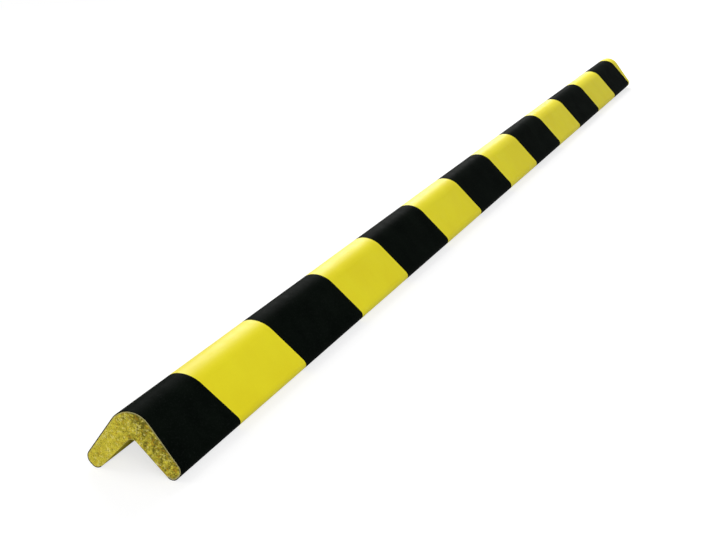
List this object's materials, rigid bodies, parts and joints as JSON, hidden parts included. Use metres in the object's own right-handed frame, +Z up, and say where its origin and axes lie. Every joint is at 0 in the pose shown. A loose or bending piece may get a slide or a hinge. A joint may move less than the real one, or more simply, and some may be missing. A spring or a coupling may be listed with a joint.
{
  "type": "foam corner guard",
  "caption": "Soft foam corner guard: a straight bar with an angled section and a round ridge, in yellow with black bands, which is bonded over the edge of a wall, pillar or shelf.",
  "frame": {"origin": "on the plane that the two leg tips rest on, midway between the two cut ends and between the legs", "axes": "+Y along the bar, from the end whose cut runs through a black band to the end with a short yellow rest; +Z up through the ridge; +X across the legs"},
  "size_m": [0.0482, 1, 0.0307],
  "materials": {
    "yellow_foam": "soft foam with a smooth satin skin in warning yellow; the two cut ends show its cells, in a darker mustard",
    "black_coat": "soft black coat, satin, with weak soft highlights"
  },
  "bodies": {
    "root": {"foam_profile": "yellow_foam", "black_band_1": "black_coat", "black_band_2": "black_coat", "black_band_3": "black_coat", "black_band_4": "black_coat", "black_band_5": "black_coat", "black_band_6": "black_coat", "black_band_7": "black_coat"}
  },
  "joints": []
}
